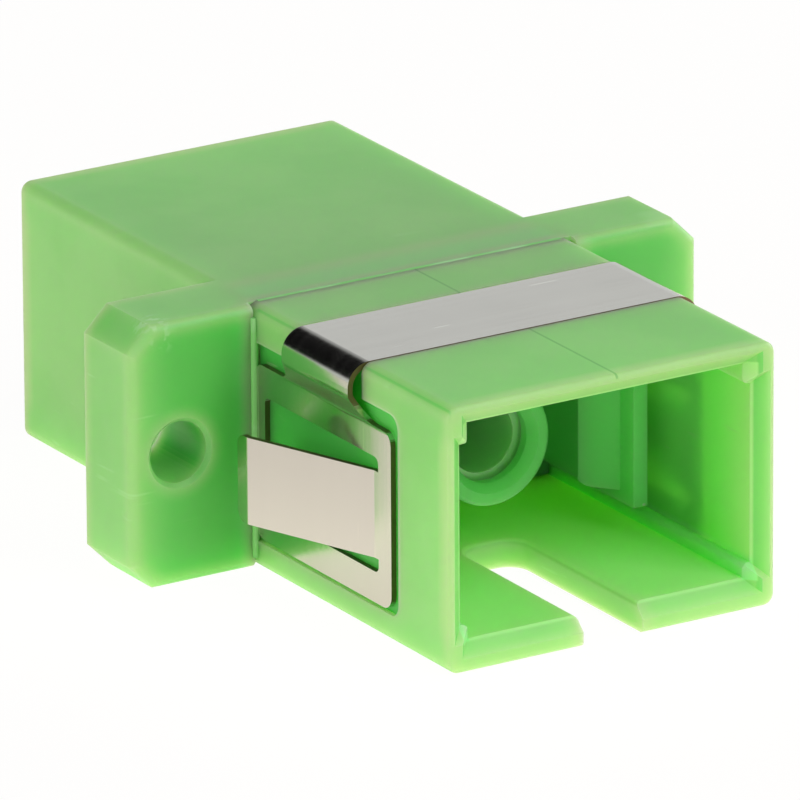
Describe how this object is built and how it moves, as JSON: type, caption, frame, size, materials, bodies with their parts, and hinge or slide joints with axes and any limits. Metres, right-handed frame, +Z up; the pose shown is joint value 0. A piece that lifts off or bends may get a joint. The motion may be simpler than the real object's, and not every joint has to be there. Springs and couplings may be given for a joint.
{
  "type": "sc fibre adapter",
  "caption": "Flanged coupler that joins two square push-pull optical fibre plugs through a wall panel, with a spring steel panel clip.",
  "frame": {"origin": "middle of the flange's front face, on the optical axis", "axes": "+Y along the optical axis to the rear port, +X along the flange, +Z up, away from the key slots"},
  "size_m": [0.0228, 0.0282, 0.0094],
  "materials": {
    "green_plastic": "satin moulded, slightly translucent",
    "green_insert_plastic": "satin moulded, slightly translucent",
    "white_ceramic": "ground zirconia",
    "spring_steel": "bright rolled stainless"
  },
  "bodies": {
    "root": {"front_housing": "green_plastic", "rear_housing": "green_plastic", "front_latch_insert": "green_insert_plastic", "rear_latch_insert": "green_insert_plastic", "split_sleeve": "white_ceramic", "panel_clip": "spring_steel"}
  },
  "joints": []
}
